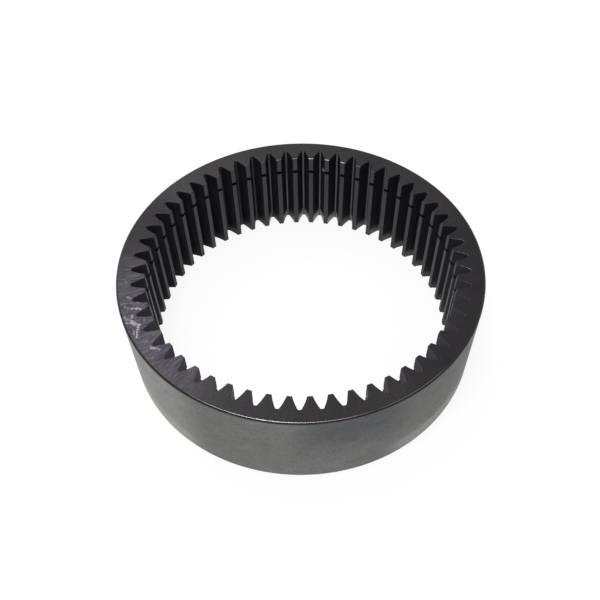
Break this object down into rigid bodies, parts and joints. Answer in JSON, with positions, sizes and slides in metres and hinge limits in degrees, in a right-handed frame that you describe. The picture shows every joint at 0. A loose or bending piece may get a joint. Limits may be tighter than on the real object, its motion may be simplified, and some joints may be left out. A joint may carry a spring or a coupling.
{
  "type": "internal ring gear",
  "caption": "Internal ring gear: a plain steel ring with straight involute teeth cut round its bore, and a narrow retaining groove turned across the tooth crests near one face.",
  "frame": {"origin": "centre of the bottom face, on the gear's axis; the bottom face is the one further from the retaining groove", "axes": "+Z along the gear's axis, up through the face nearer the retaining groove; one tooth is centred on +X"},
  "size_m": [0.217, 0.217, 0.06],
  "materials": {
    "gear_steel": "turned and cut, oiled dark, with bright scuffs on the top face"
  },
  "bodies": {
    "root": {"ring_gear": "gear_steel"}
  },
  "joints": []
}
